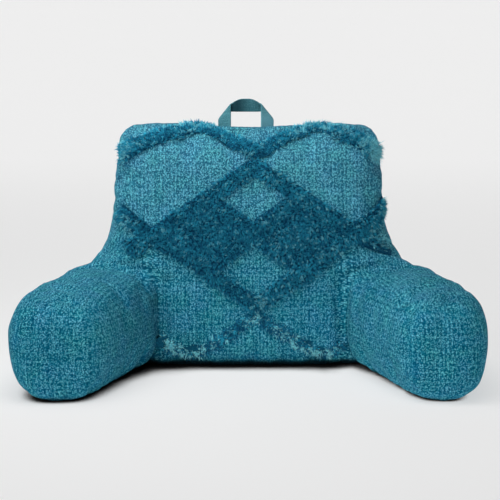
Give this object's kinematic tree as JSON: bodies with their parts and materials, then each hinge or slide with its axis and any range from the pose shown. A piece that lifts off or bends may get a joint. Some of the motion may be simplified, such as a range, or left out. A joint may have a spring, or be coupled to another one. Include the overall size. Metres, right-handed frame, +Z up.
{
  "type": "reading pillow with arms",
  "caption": "Filled reading pillow with a tall backrest, two splayed arms, a carry strap on top and raised cut-pile diamond bands on the front.",
  "frame": {"origin": "on the floor under the middle of the pillow's bounding box", "axes": "+X to the right seen from the front, +Y to the rear, +Z up; the sitter faces -Y"},
  "size_m": [0.756, 0.4402, 0.4525],
  "materials": {
    "slub_cloth": "slubby plain weave in mixed teal yarns, matt",
    "cut_pile": "dense cut pile in deep teal, lighter at the tips",
    "strap_cloth": "fine flat weave in teal, matt"
  },
  "bodies": {
    "root": {"pillow_body": "slub_cloth", "cut_pile_lattice": "cut_pile", "cut_pile_zigzag": "cut_pile", "carry_strap": "strap_cloth"}
  },
  "joints": []
}
